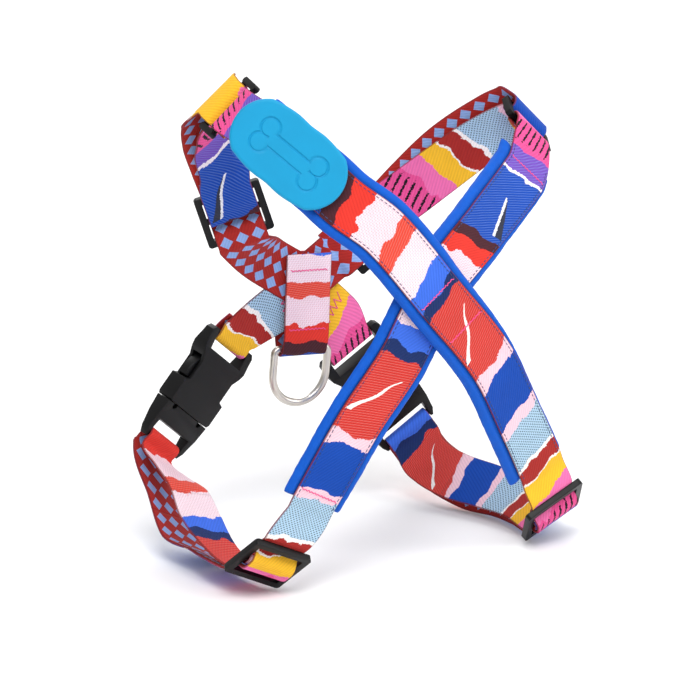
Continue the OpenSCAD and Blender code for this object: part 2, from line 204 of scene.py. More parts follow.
def ring_hook(f: Seat) -> Route:
    """Returns the end folded round a ring's near bar."""
    tail = run(f, 1, [(-RING_BAR - 9, 0.4 - WEB_T), (-RING_BAR - 5, -BAR_LIFT + 0.7)])
    return tail + hook(f, 1, -RING_BAR, BAR_LIFT, -90, 90) + run(f, 1, [(-RING_BAR - 4, BAR_LIFT)])


def tongue_hook(f: Seat) -> Route:
    """Returns the pass round a buckle tongue's bar."""
    return run(f, -1, [(-6, BAR_LIFT)]) + hook(f, -1, 0, BAR_LIFT, 90, -90) + run(f, -1, [(-6, -BAR_LIFT)])


def socket_hook(f: Seat) -> Route:
    """Returns the end folded round a buckle socket's bar."""
    tail = run(f, -1, [(BUCKLE_LEN + 11, PITCH - BAR_LIFT + 0.5), (BUCKLE_LEN + 5, BAR_LIFT - 0.8)])
    return tail + hook(f, -1, BUCKLE_LEN, BAR_LIFT, 90, 270) + run(f, -1, [(BUCKLE_LEN + 4, -BAR_LIFT)])


NECK_LEFT_RING = Seat.of(at(-77, 10, 231), (0.71, -0.16, 0.69), (0.08, 1, 0))
NECK_RIGHT_RING = Seat.of(at(86, 8, 198), (0.68, -0.03, -0.74), (0.1, 0.8, 0.5))
NECK_LEFT_SLIDER = Seat.of(at(-52, 50, 164), (-0.87, 0.39, -0.31), (-0.33, 0, 0.94))
NECK_RIGHT_SLIDER = Seat.of(at(26, 63, 139), (-0.47, 0.52, 0.71), (0.66, -0.27, 0.7))
GIRTH_LEFT_SLIDER = Seat.of(at(-82, -34, 17), (-0.9, 0, 0.43), (-0.32, 0.68, -0.66))
GIRTH_RIGHT_SLIDER = Seat.of(at(76, -34, 17), (-0.9, 0, -0.43), (0.32, 0.68, -0.66))
LEFT_BUCKLE = Seat.of(at(-86.5, 61, 51.5), (-0.733, -0.248, 0.633), (0.753, 0.03, 0.657))
RIGHT_BUCKLE = Seat.of(at(54, 66, 33.2), (-0.82, 0.1, -0.56), (-0.56, 0, 0.83))
JUNCTION = Seat.of(at(-7, 62, 105), (1, 0, -0.1), (0.1, 0.1, 1))
BADGE = Seat.of(at(-66, -27, 216), (0.67, -0.12, 0.73), (-0.57, 0.56, 0.61))
DEE = Seat.of(JUNCTION.pt(0, -19, 0), JUNCTION.x, (0, 0, 1))


def path(*rows: tuple[float, ...]) -> Route:
    """Returns stations from rows of a place and a width direction."""
    return [st(at(*row[:3]), row[3:]) for row in rows]


def strap_a_route() -> Route:
    """Returns the upper chest strap, from the left neck ring down to the right."""
    return (
        ring_hook(NECK_LEFT_RING)
        + run(BADGE, 1, [(22, -1.2), (10, -0.15), (-10, -0.15), (-22, -0.8)])
        + path(
            (-46, -45, 194, 0.72, -0.1, 0.69),
            (-28, -53, 178, 0.77, -0.05, 0.64),
            (-1, -58, 143, 0.78, 0, 0.62),
            (29, -55, 106, 0.8, 0.05, 0.6),
            (49, -49, 71, 0.83, 0.05, 0.55),
            (64, -43, 44, 0.87, 0.02, 0.48),
            (67, -41, 38, 0.88, 0.01, 0.46),
        )
    )


def strap_b_route() -> Route:
    """Returns the lower chest strap, from the right neck ring down to the left."""
    return ring_hook(NECK_RIGHT_RING) + path(
        (77, -10, 186.5, 0.67, -0.17, -0.72),
        (71, -15.5, 182, 0.67, -0.2, -0.72),
        (40, -33, 167, 0.72, -0.1, -0.69),
        (0, -50.5, 143, 0.79, 0, -0.61),
        (-19, -51.3, 113, 0.8, -0.05, -0.6),
        (-40, -50, 86, 0.83, -0.05, -0.55),
        (-56, -45, 57, 0.86, -0.03, -0.5),
        (-62, -43, 46, 0.88, 0, -0.47),
        (-65, -42, 40, 0.89, 0, -0.46),
    )


def neck_route(ring: Seat, slider: Seat, out: Route, back: Route, reach: tuple[float, float]) -> Route:
    """Returns a neck adjuster: through its slider, round the ring's far bar and back.

    Args:
        ring: Seat of the neck ring.
        slider: Seat of the slider.
        out: Stations on the way to the ring.
        back: Stations on the way back.
        reach: Lengths kept straight before and after the bar.

    Returns:
        The whole route.
    """
    lift = BAR_LIFT + ROCK
    return (
        weave(slider, 1)
        + out
        + run(ring, -1, [(RING_BAR + reach[0], lift)])
        + hook(ring, -1, RING_BAR, lift, 90, 270)
        + run(ring, -1, [(RING_BAR + reach[1], -lift)])
        + back
        + sewn_end(slider, 1)
    )


def girth_route(slider: Seat, buckle: Seat, out: Route, back: Route) -> Route:
    """Returns a girth adjuster: through its slider, round the tongue's bar and back."""
    return weave(slider, -1) + out + tongue_hook(buckle) + back + sewn_end(slider, -1)


NECK_LEFT_ROUTE = neck_route(
    NECK_LEFT_RING,
    NECK_LEFT_SLIDER,
    path((-64, 47, 192, -0.82, 0.3, -0.45), (-72, 42, 208, -0.78, 0.25, -0.55), (-78, 33, 225, -0.73, 0.18, -0.65)),
    path((-72, 29, 216, -0.73, 0.18, -0.65), (-68, 38, 204, -0.78, 0.25, -0.55), (-61, 44, 189, -0.82, 0.3, -0.45)),
    (7, 5),
)
NECK_RIGHT_ROUTE = neck_route(
    NECK_RIGHT_RING,
    NECK_RIGHT_SLIDER,
    path(
        (47, 51, 164, -0.5, 0.46, 0.72),
        (60, 40, 182, -0.55, 0.35, 0.74),
        (74, 29, 196, -0.6, 0.22, 0.75),
        (86, 21, 204, -0.65, 0.1, 0.75),
    ),
    path((71, 27, 187, -0.6, 0.22, 0.75), (57, 38, 173, -0.55, 0.35, 0.74), (44, 49, 159, -0.5, 0.46, 0.72)),
    (3, 3),
)
GIRTH_LEFT_ROUTE = girth_route(
    GIRTH_LEFT_SLIDER,
    LEFT_BUCKLE,
    path(
        (-88, -4, 8, 0.9, 0, -0.43),
        (-87, 14, 7.1, 0.88, 0, -0.47),
        (-88.6, 37, 8.9, 0.93, 0.08, -0.38),
        (-87.2, 56.6, 24.4, 0.85, 0.2, -0.5),
    ),
    path(
        (-87, 51.5, 40, 0.83, 0.23, -0.51),
        (-85.6, 36.4, 34.8, 0.93, 0.16, -0.32),
        (-88.5, 19, 26, 0.96, 0.02, -0.27),
        (-89.5, 2, 18, 0.92, 0, -0.39),
    ),
)
GIRTH_RIGHT_ROUTE = girth_route(
    GIRTH_RIGHT_SLIDER,
    RIGHT_BUCKLE,
    path(
        (82, -4, 8, 0.86, 0.05, 0.48),
        (80, 14, 8.8, 0.75, 0.15, 0.6),
        (72, 34, 9.6, 0.68, 0.22, 0.68),
        (63, 56, 17, 0.72, 0.1, 0.66),
    ),
    path(
        (59, 55, 20, 0.72, 0.1, 0.66),
        (63, 38, 16, 0.68, 0.22, 0.68),
        (72, 18, 14, 0.75, 0.15, 0.6),
        (79, -2, 12, 0.86, 0.05, 0.48),
    ),
)


def in_plane(v: np.ndarray) -> np.ndarray:
    """Returns the direction of v in the leash junction's plane."""
    return unit(v - (v @ JUNCTION.z) * JUNCTION.z)


def arm(k: np.ndarray, far: np.ndarray, reach: float, w: np.ndarray) -> Station:
    """Returns the flat station under the tab, at a reach from k towards a far point."""
    d = in_plane(far - k)
    c = np.cross(JUNCTION.z, d)
    return st(k + reach * d, c * np.sign(c @ w))


def fold(k: np.ndarray, a: np.ndarray, b: np.ndarray, w: np.ndarray, out: np.ndarray) -> Route:
    """Returns the crossing to the next layer at a crease.

    Args:
        k: Middle of the crease.
        a: Where the webbing comes from.
        b: Where it goes.
        w: Width direction on the way in.
        out: Direction past the crease.

    Returns:
        Three stations with slanting cross-sections.
    """
    t_in, t_out = -in_plane(a - k), in_plane(b - k)
    along = unit(t_in + t_out)
    c = along * np.sign(along @ w)
    stretch = 1 / float(np.linalg.norm(np.cross(t_in, c)))
    up = JUNCTION.z * PITCH
    return [st(k, c, stretch), st(k + (out * PITCH + up) / 2, c, stretch), st(k + up, c, stretch)]


def back_route(
    buckle: Seat, slider: Seat, crease: np.ndarray, aim: np.ndarray, reach: tuple[float, float], out: np.ndarray
) -> Route:
    """Returns a back webbing, from the buckle socket over the junction's fold to the neck slider."""
    end = slider.pt(0, -PAST - 1, -BAR_LIFT)
    return (
        socket_hook(buckle)
        + [arm(crease, aim, reach[0], -buckle.x)]
        + fold(crease, aim, end, -buckle.x, out)
        + [arm(crease + JUNCTION.z * PITCH, end, reach[1], slider.x), st(end, slider.x)]
    )


def tab_route() -> Route:
    """Returns the leash tab, down the front, round the leash ring's bar and up the back."""
    lift = 2 * PITCH + WEB_T / 2 + LAY
    r = DEE_WIRE / 2 + LAY + WEB_T / 2
    return (
        run(JUNCTION, 1, [(28, lift), (0, lift), (-14, lift)])
        + hook(JUNCTION, 1, -19, r, 90, 270)
        + run(JUNCTION, 1, [(-14, -lift), (0, -lift), (28, -lift)])
    )


# ---- swept ribbons ----


@dataclass
class Ribbon:
    """A route sampled finely enough to sweep cloth along it."""

    route: Route
    fine: float = 1.4
    p: np.ndarray = field(init=False)
    w: np.ndarray = field(init=False)
    n: np.ndarray = field(init=False)
    s: np.ndarray = field(init=False)
    marks: list[int] = field(init=False)

    def __post_init__(self) -> None:
        """Samples the route and works out the width and normal directions."""
        r = self.route
        ends = [r[max(i - 1, 0)].p for i in range(len(r))], [r[min(i + 1, len(r) - 1)].p for i in range(len(r))]
        tangents = [unit(b - a) for a, b in zip(*ends)]
        pts, wid, self.marks = [], [], []
        for i in range(len(r) - 1):
            a, b = r[i].p, r[i + 1].p
            d = float(np.linalg.norm(b - a))
            coarse = max(1, math.ceil(d / STEP))
            n = max(coarse, math.ceil(d / self.fine))
            self.marks.append(len(pts))
            for j in range(n):
                u = j / n
                h = (2 * u**3 - 3 * u**2 + 1) * a + (u**3 - 2 * u**2 + u) * d * tangents[i]
                h = h + (3 * u**2 - 2 * u**3) * b + (u**3 - u**2) * d * tangents[i + 1]
                pts.append(h)
                wid.append(((1 - u) * r[i].w + u * r[i + 1].w, r[i].stretch if j == 0 else 0.0))
        self.marks.append(len(pts))
        pts.append(r[-1].p)
        wid.append((r[-1].w, r[-1].stretch))
        self.p = np.array(pts)
        t = np.gradient(self.p, axis=0)
        t /= np.linalg.norm(t, axis=1)[:, None]
        half, normal = [], []
        for k, (w, stretch) in enumerate(wid):
            w = unit(w)
            across = w - (w @ t[k]) * t[k]
            half.append(w * stretch if stretch else w / np.linalg.norm(across))
            normal.append(unit(np.cross(t[k], w)))
        self.w, self.n = np.array(half), np.array(normal)
        self.s = np.concatenate([[0], np.cumsum(np.linalg.norm(np.diff(self.p, axis=0), axis=1))])

    def near(self, point: np.ndarray, start: int = 0, stop: int | None = None) -> int:
        """Returns the sample nearest to a point, within a stretch of the ribbon."""
        part = self.p[start:stop]
        return start + int(np.argmin(np.linalg.norm(part - point, axis=1)))


@dataclass(frozen=True)
class Print:
    """How the artwork lies on a ribbon.

    Args:
        knots: Length along the ribbon against length along the artwork, in millimetres.
        slant: Lean of the bands across the webbing.
        up: Whether the artwork is on the normal's side.
    """

    knots: tuple[tuple[float, float], ...]
    slant: float = 0.2
    up: bool = True

    def place(self, s: np.ndarray) -> np.ndarray:
        """Returns the lengths along the artwork, carried on straight past the knots."""
        x = np.array([k[0] for k in self.knots])
        y = np.array([k[1] for k in self.knots])
        first = y[0] + (s - x[0]) * (y[1] - y[0]) / (x[1] - x[0])
        last = y[-1] + (s - x[-1]) * (y[-1] - y[-2]) / (x[-1] - x[-2])
        return np.where(s < x[0], first, np.where(s > x[-1], last, np.interp(s, x, y)))


def web_section() -> list[tuple[float, float]]:
    """Returns the webbing's cross-section, with woven edges that are slightly thicker and round."""
    half, r = WEB_W / 2, WEB_T / 2
    across = np.linspace(-1, 1, 19)
    body = [(a * (half - r), r * (0.93 + 0.07 * abs(a) ** 6)) for a in across]
    edge = [(half - r + r * math.sin(q), r * math.cos(q)) for q in np.radians([30, 60, 90, 120, 150])]
    upper = body + edge
    return upper + [(-a, -b) for a, b in upper]


def pad_section() -> list[tuple[float, float]]:
    """Returns the padded lining's cross-section: flat under the webbing, rolled edges, soft back."""
    half, r = PAD_W / 2, PAD_T / 2
    top = [(a, r - 0.02) for a in (-11.4, -8, -4, 0, 4, 8, 11.4)]
    roll = [(12.4, r + 0.02), (13.1, r + 0.35), (14.2, r + 0.62), (15.3, r + 0.42), (16.3, r - 0.35)]
    roll += [(half - 0.1, r - 1.2), (half - 0.05, -0.4), (half - 0.5, -r + 0.75), (half - 1.5, -r + 0.15)]
    back = [(14, -r - 0.02), (12.2, -r + 0.18), (11.2, -r + 0.3), (10, -r + 0.1), (7, -r - 0.12), (3, -r - 0.2)]
    right = top[4:] + roll + back
    left = [(-a, b) for a, b in reversed(right)]
    return [top[3]] + right + [(0, -r - 0.22)] + left


def to_object(name: str, verts: np.ndarray, faces: list[tuple[int, ...]]) -> bpy.types.Object:
    """Makes a mesh object from places in millimetres.

    Args:
        name: Name of the piece.
        verts: Places, in millimetres.
        faces: Faces as rows of vertex numbers, facing outwards.

    Returns:
        The linked object.
    """
    mesh = bpy.data.meshes.new(name)
    mesh.from_pydata((np.asarray(verts) * MM).tolist(), [], faces)
    mesh.validate()
    mesh.update()
    obj = bpy.data.objects.new(name, mesh)
    bpy.context.scene.collection.objects.link(obj)
    for poly in mesh.polygons:
        poly.use_smooth = True
    return obj


def grid_faces(rings: int, around: int, closed: bool = False) -> list[tuple[int, ...]]:
    """Returns the quads between rings of points.

    Args:
        rings: Number of rings.
        around: Points in each ring.
        closed: Whether the last ring joins the first.

    Returns:
        Faces as rows of vertex numbers.
    """
    faces: list[tuple[int, ...]] = []
    for i in range(rings if closed else rings - 1):
        a, b = i * around, (i + 1) % rings * around
        faces += [(a + j, a + (j + 1) % around, b + (j + 1) % around, b + j) for j in range(around)]
    return faces


def sweep(
    name: str,
    ribbon: Ribbon,
    section: list[tuple[float, float]],
    first: int,
    last: int,
    width: float,
    lift: float = 0.0,
    shape: Callable[[np.ndarray, np.ndarray], tuple[np.ndarray, np.ndarray]] | None = None,
    art: Print | None = None,
) -> bpy.types.Object:
    """Sweeps a closed section along part of a ribbon, with a lengthwise UV map.

    Args:
        name: Name of the piece.
        ribbon: The sampled route.
        section: Points across (a) and through (b) the strap, in millimetres.
        first: First sample.
        last: Last sample.
        width: Width of the section; not used.
        lift: Offset along the normal.
        shape: Takes the lengths and the (a, b) grid and returns changed a and b.
        art: The artwork's lie, written to the art and printed attributes.

    Returns:
        The piece, with UVs in metres.
    """
    a = np.array([q[0] for q in section])
    b = np.array([q[1] for q in section])
    rows = np.arange(first, last + 1)
    n, m = len(rows), len(section)
    grid_a, grid_b = np.tile(a, (n, 1)), np.tile(b, (n, 1))
    if shape is not None:
        grid_a, grid_b = shape(ribbon.s[rows], np.stack([grid_a, grid_b]))
    p, w, nn = ribbon.p[rows][:, None], ribbon.w[rows][:, None], ribbon.n[rows][:, None]
    verts = (p + w * grid_a[..., None] + nn * (grid_b + lift)[..., None]).reshape(-1, 3)
    faces = grid_faces(n, m)
    faces.append(tuple(reversed(range(m))))
    faces.append(tuple((n - 1) * m + j for j in range(m)))
    obj = to_object(name, verts, faces)
    mesh = obj.data
    uv = mesh.uv_layers.new(name="lay")
    s = np.repeat(ribbon.s[rows], m) * MM
    v = np.tile(a, n) * MM
    index = np.zeros(len(mesh.loops), int)
    mesh.loops.foreach_get("vertex_index", index)
    uv.data.foreach_set("uv", np.stack([s[index], v[index]], 1).ravel())
    if art is not None:
        place = art.place(ribbon.s[rows])[:, None] + grid_a * art.slant
        printed = np.tile((b > 0) == art.up, n).astype(np.float32)
        for word, values in (("art", place.ravel().astype(np.float32)), ("printed", printed)):
            mesh.attributes.new(word, "FLOAT", "POINT").data.foreach_set("value", values)
    recalculate(obj)
    return obj


@contextmanager
def edited(mesh: bpy.types.Mesh) -> Iterator[bmesh.types.BMesh]:
    """Lends a mesh as an editable one and writes it back."""
    bm = bmesh.new()
    bm.from_mesh(mesh)
    yield bm
    bm.to_mesh(mesh)
    bm.free()


def recalculate(obj: bpy.types.Object) -> None:
    """Turns a closed mesh's faces outwards."""
    with edited(obj.data) as bm:
        bmesh.ops.recalc_face_normals(bm, faces=bm.faces)


def applied(obj: bpy.types.Object) -> bpy.types.Object:
    """Replaces an object's mesh with its evaluated one and removes its modifiers."""
    graph = bpy.context.evaluated_depsgraph_get()
    mesh = bpy.data.meshes.new_from_object(obj.evaluated_get(graph), depsgraph=graph)
    obj.modifiers.clear()
    obj.data = mesh
    return obj


# ---- shader writing ----


class Sock:
    """A shader socket that takes part in Python arithmetic."""

    def __init__(self, shader: "Shader", socket: bpy.types.NodeSocket) -> None:
        """Wraps a socket of a shader."""
        self.shader, self.socket = shader, socket

    def _math(self, operation: str, a: Any, b: Any = None) -> "Sock":
        """Adds a Math node on two values."""
        values = {0: a} if b is None else {0: a, 1: b}
        node = self.shader.add("ShaderNodeMath", {"operation": operation}, values)
        return Sock(self.shader, node.outputs[0])

    @staticmethod
    def _operator(operation: str, swapped: bool = False) -> Callable[["Sock", Any], "Sock"]:
        """Returns a method that adds a Math node on self and another value."""

        def method(self: "Sock", other: Any) -> "Sock":
            """Adds the node, with the values swapped for a reflected operator."""
            return self._math(operation, other, self) if swapped else self._math(operation, self, other)

        return method

    __add__ = _operator("ADD")
    __radd__ = _operator("ADD")
    __sub__ = _operator("SUBTRACT")
    __rsub__ = _operator("SUBTRACT", True)
    __mul__ = _operator("MULTIPLY")
    __rmul__ = _operator("MULTIPLY")
    __truediv__ = _operator("DIVIDE")
    __gt__ = _operator("GREATER_THAN")
    __lt__ = _operator("LESS_THAN")

    def sin(self) -> "Sock":
        """Returns the sine, in radians."""
        return self._math("SINE", self)

    def fract(self) -> "Sock":
        """Returns the fractional part."""
        return self._math("FRACT", self)

    def abs(self) -> "Sock":
        """Returns the absolute value."""
        return self._math("ABSOLUTE", self)


def srgb(r: int, g: int, b: int) -> tuple[float, float, float, float]:
    """Returns an 8-bit display colour as a linear one."""
    lin = [c / 255 / 12.92 if c <= 10 else ((c / 255 + 0.055) / 1.055) ** 2.4 for c in (r, g, b)]
    return (lin[0], lin[1], lin[2], 1.0)


class Shader:
    """A material whose nodes are added by one method."""

    def __init__(self, name: str) -> None:
        """Makes the material with its principled shader and output."""
        self.material = bpy.data.materials.new(name)
        self.material.use_nodes = True
        self.tree = self.material.node_tree
        self.tree.nodes.clear()
        self.bsdf = self.tree.nodes.new("ShaderNodeBsdfPrincipled")
        out = self.tree.nodes.new("ShaderNodeOutputMaterial")
        self.tree.links.new(self.bsdf.outputs[0], out.inputs[0])

    def add(self, kind: str, settings: dict[str, Any], inputs: dict[Any, Any]) -> bpy.types.Node:
        """Adds a node.

        Args:
            kind: Node type.
            settings: Properties, set first; stops is a ramp's list of (place, colour).
            inputs: Values or links by socket name or number.

        Returns:
            The node.
        """
        node = self.tree.nodes.new(kind)
        for key, value in settings.items():
            if key == "stops":
                self._ramp(node.color_ramp, value)
            else:
                setattr(node, key, value)
        for key, value in inputs.items():
            self.put(node.inputs[key], value)
        return node

    def _ramp(self, ramp: bpy.types.ColorRamp, stops: list[tuple[float, Sequence[float]]]) -> None:
        """Sets a ramp's hard-edged stops."""
        ramp.interpolation = "CONSTANT"
        while len(ramp.elements) > 1:
            ramp.elements.remove(ramp.elements[-1])
        for k, (place, colour) in enumerate(stops):
            element = ramp.elements[0] if k == 0 else ramp.elements.new(place)
            element.position = place
            element.color = colour

    def put(self, socket: bpy.types.NodeSocket, value: Any) -> None:
        """Links or sets a socket."""
        if isinstance(value, Sock):
            self.tree.links.new(value.socket, socket)
        else:
            socket.default_value = value

    def surface(self, name: str, value: Any) -> None:
        """Links or sets one of the principled shader's sockets."""
        self.put(self.bsdf.inputs[name], value)

    def lay(self) -> tuple[Sock, Sock]:
        """Returns the length and the width coordinate of a strap, in millimetres."""
        uv = self.add("ShaderNodeUVMap", {"uv_map": "lay"}, {})
        split = self.add("ShaderNodeSeparateXYZ", {}, {0: Sock(self, uv.outputs[0])})
        return Sock(self, split.outputs[0]) * 1000.0, Sock(self, split.outputs[1]) * 1000.0

    def attribute(self, name: str) -> Sock:
        """Returns a named value of the mesh."""
        return Sock(self, self.add("ShaderNodeAttribute", {"attribute_name": name}, {}).outputs["Fac"])

    def point(self) -> Sock:
        """Returns the object coordinates."""
        return Sock(self, self.add("ShaderNodeTexCoord", {}, {}).outputs["Object"])

    def vector(self, x: Any, y: Any, z: Any) -> Sock:
        """Returns a vector of three values."""
        return Sock(self, self.add("ShaderNodeCombineXYZ", {}, {0: x, 1: y, 2: z}).outputs[0])

    def noise(self, vector: Sock, scale: float, detail: float = 2.0, rough: float = 0.5) -> Sock:
        """Returns noise from 0 to 1."""
        values = {"Vector": vector, "Scale": scale, "Detail": detail, "Roughness": rough}
        return Sock(self, self.add("ShaderNodeTexNoise", {}, values).outputs[0])

    def mix(self, factor: Any, a: Any, b: Any) -> Sock:
        """Returns a colour between a and b."""
        node = self.add("ShaderNodeMix", {"data_type": "RGBA"}, {0: factor, 6: a, 7: b})
        return Sock(self, node.outputs[2])

    def dim(self, colour: Any, by: Any) -> Sock:
        """Returns a colour multiplied by a grey value."""
        vector = colour if isinstance(colour, Sock) else colour[:3]
        node = self.add("ShaderNodeVectorMath", {"operation": "SCALE"}, {0: vector, "Scale": by})
        return Sock(self, node.outputs[0])

    def bump(self, height: Sock, distance: float, strength: float = 1.0) -> None:
        """Sets the surface's bump from a height in units of distance."""
        node = self.add("ShaderNodeBump", {}, {"Height": height, "Distance": distance, "Strength": strength})
        self.put(self.bsdf.inputs["Normal"], Sock(self, node.outputs[0]))


class Style(Enum):
    """How one colour band of the webbing is woven."""

    PLAIN = 0.05
    SPECKS = 0.2
    DOTS = 0.35
    HATCH = 0.5
    RIBS = 0.65
    STROKES = 0.85


@dataclass(frozen=True)
class Band:
    """One colour band of the webbing's artwork."""

    length: float
    colour: tuple[int, int, int]
    style: Style = Style.PLAIN


ARTWORK = [
    Band(7, (72, 28, 38)),
    Band(12, (226, 52, 40)),
    Band(17, (248, 222, 230), Style.SPECKS),
    Band(10, (226, 66, 48), Style.RIBS),
    Band(17.5, (248, 226, 233), Style.SPECKS),
    Band(10, (58, 108, 222)),
    Band(7, (16, 42, 98)),
    Band(44, (206, 44, 36), Style.RIBS),
    Band(7, (248, 206, 218)),
    Band(26, (0, 70, 172)),
    Band(6, (246, 204, 218)),
    Band(22, (176, 208, 230), Style.DOTS),
    Band(1.5, (250, 244, 240)),
    Band(10, (170, 38, 33)),
    Band(1.5, (250, 240, 236)),
    Band(11, (248, 190, 42)),
    Band(10, (240, 112, 172)),
    Band(16, (232, 80, 146), Style.STROKES),
    Band(14, (112, 74, 182), Style.HATCH),
    Band(3, (248, 236, 240)),
    Band(43, (0, 68, 172), Style.HATCH),
]
REPEAT = sum(b.length for b in ARTWORK)
SLASHES_AT, STROKE_AT, SHARD_AT = 227.5, 91.0, 268.0
STROKE_LENGTH, SHARD_LENGTH = 22.0, 24.0
DIAMOND = 8.0

STRAP_A_PRINT = (
    (24, -60.5), (40, -43), (85, 0), (92, 7), (104, 19), (121, 36), (131, 46), (148.5, 63.5), (160, 73.5),
    (166, 80.5), (211, 124.5), (219, 131.5), (245, 157.5), (252, 163.5), (274, 185.5), (286, 198.5), (298, 209.5),
    (312, 221),
)
STRAP_B_PRINT = (
    (50, -43), (93, 0), (98, 7), (109, 19), (169.5, 80.5), (212, 124.5), (218, 131.5), (243, 157.5), (248, 163.5),
    (270, 185.5), (283, 198.5),
)


def stops_of(value: Callable[[Band], Sequence[float]]) -> list[tuple[float, Sequence[float]]]:
    """Returns the artwork's ramp stops of a value of each band."""
    stops, place = [], 0.0
    for band in ARTWORK:
        stops.append((place / REPEAT, value(band)))
        place += band.length
    return stops


@dataclass(frozen=True)
class WovenWebbing:
    """The finish of patterned polyester webbing: artwork on one side, diamonds on the other."""

    name: str = "woven_webbing"

    def make(self) -> bpy.types.Material:
        """Builds the material."""
        sh = Shader(self.name)
        u, v = sh.lay()
        art = sh.attribute("art")
        cell = sh.vector(art, v, 0.0)
        broad = sh.noise(cell, 0.085, 1.0) - 0.5
        torn = sh.noise(cell, 0.7, 3.0, 0.65) - 0.5
        place = art + broad * 10.0 + torn * 2.6
        phase = (place / REPEAT).fract()
        grey = lambda b: (b.style.value,) * 3 + (1.0,)
        colours = sh.add("ShaderNodeValToRGB", {"stops": stops_of(lambda b: srgb(*b.colour))}, {0: phase})
        styles = sh.add("ShaderNodeValToRGB", {"stops": stops_of(grey)}, {0: phase})
        front = self._styled(sh, Sock(sh, colours.outputs[0]), Sock(sh, styles.outputs[0]), u, v, art)
        printed = sh.attribute("printed") > 0.5
        colour = sh.mix(printed, self._diamonds(sh, u, v, torn), front)
        edge = v.abs() > 12.05
        colour = sh.mix(edge * 0.7, colour, srgb(112, 34, 40))
        weft = (u * 8.6).sin() * (v * 7.6).sin() * 0.5 + 0.5
        twill = (u * 2.5 + v * 3.7).sin() * 0.5 + 0.5
        fuzz = sh.noise(sh.vector(u, v, 5.0), 3.2, 2.0)
        cloud = sh.noise(sh.vector(u, v, 9.0), 0.06, 2.0)
        shade = (weft * 0.14 + twill * 0.13 + 0.8) * (fuzz * 0.16 + 0.92) * (cloud * 0.2 + 0.9)
        sh.surface("Base Color", sh.dim(colour, shade))
        sh.surface("Roughness", 0.62 + fuzz * 0.2)
        sh.surface("Sheen Weight", 0.04)
        sh.surface("Sheen Roughness", 0.5)
        sh.surface("Specular IOR Level", 0.22)
        sh.bump(weft * 0.5 + twill * 0.6 + fuzz * 0.35, 0.00016, 0.8)
        return sh.material

    def _styled(self, sh: Shader, colour: Sock, style: Sock, u: Sock, v: Sock, art: Sock) -> Sock:
        """Adds specks, dots, hatching, ribs and brush strokes to the bands that have them."""
        near = lambda s: (style - s.value).abs() < 0.06
        torn = sh.noise(sh.vector(art, v, 2.0), 0.9, 2.0) - 0.5
        speck = (u * 2.9 + v * 2.9).sin() * (v * 2.9 - u * 2.9).sin() > 0.4
        colour = sh.mix(near(Style.SPECKS) * speck * 0.4, colour, srgb(214, 112, 140))
        dot = ((u * 1.75 + v * 1.75).sin() * (v * 1.75 - u * 1.75).sin()).abs() > 0.66
        colour = sh.mix(near(Style.DOTS) * dot * 0.85, colour, srgb(30, 52, 78))
        line = (u * 3.3 + v * 3.3).sin() > 0.3
        colour = sh.mix(near(Style.HATCH) * line * 0.13, colour, srgb(170, 200, 250))
        rib = (art * 4.6 + v * 0.9).sin() > 0.45
        colour = sh.mix(near(Style.RIBS) * rib * 0.16, colour, srgb(250, 200, 190))
        slash = (((v + art * 0.42) / 3.9 + torn * 0.5).fract() - 0.5).abs() < 0.15
        middle = ((art - SLASHES_AT) / REPEAT + 0.5).fract() - 0.5
        slash = slash * ((middle * REPEAT).abs() < 5.5 + torn * 7.0)
        colour = sh.mix(slash, colour, srgb(20, 10, 24))
        along = ((art - STROKE_AT) / REPEAT).fract() * REPEAT
        stroke = (v - 7.0 + along * 0.75 + (along * 0.4).sin() * 0.9 + torn * 0.9).abs() < along * 0.06 + 0.35
        colour = sh.mix(stroke * (along < STROKE_LENGTH), colour, srgb(252, 246, 242))
        along = ((art - SHARD_AT) / REPEAT).fract() * REPEAT
        off = v - along * 0.36 + torn * 1.2
        inside = along < SHARD_LENGTH
        colour = sh.mix(((off + 0.5).abs() < along * 0.085 + 0.5) * inside, colour, srgb(236, 236, 242))
        return sh.mix(((off - 0.4).abs() < along * 0.085) * inside, colour, srgb(48, 52, 70))

    def _diamonds(self, sh: Shader, u: Sock, v: Sock, torn: Sock) -> Sock:
        """Returns the reverse side: pale blue diamonds on a red ground."""
        across = ((v / DIAMOND + 0.5).fract() - 0.5).abs()
        diamond = ((u / DIAMOND).fract() - 0.5).abs() + across + torn * 0.05 < 0.41
        return sh.mix(diamond, srgb(178, 40, 34), srgb(150, 182, 236))


@dataclass(frozen=True)
class Knit:
    """The finish of the lining: smooth azure knit over foam."""

    name: str = "azure_knit"

    def make(self) -> bpy.types.Material:
        """Builds the material."""
        sh = Shader(self.name)
        u, v = sh.lay()
        cell = sh.vector(u, v, 0.0)
        loops = ((u * 8.5).sin() * (v * 8.5).sin()) * 0.5 + 0.5
        cloud = sh.noise(cell, 0.14, 3.0)
        colour = sh.mix(cloud, srgb(0, 76, 178), srgb(0, 94, 204))
        sh.surface("Base Color", sh.dim(colour, loops * 0.1 + 0.92))
        sh.surface("Roughness", 0.5 + cloud * 0.2)
        sh.surface("Sheen Weight", 0.02)
        sh.surface("Sheen Roughness", 0.4)
        sh.surface("Specular IOR Level", 0.2)
        sh.bump(loops + cloud * 1.4, 0.0001, 0.6)
        return sh.material


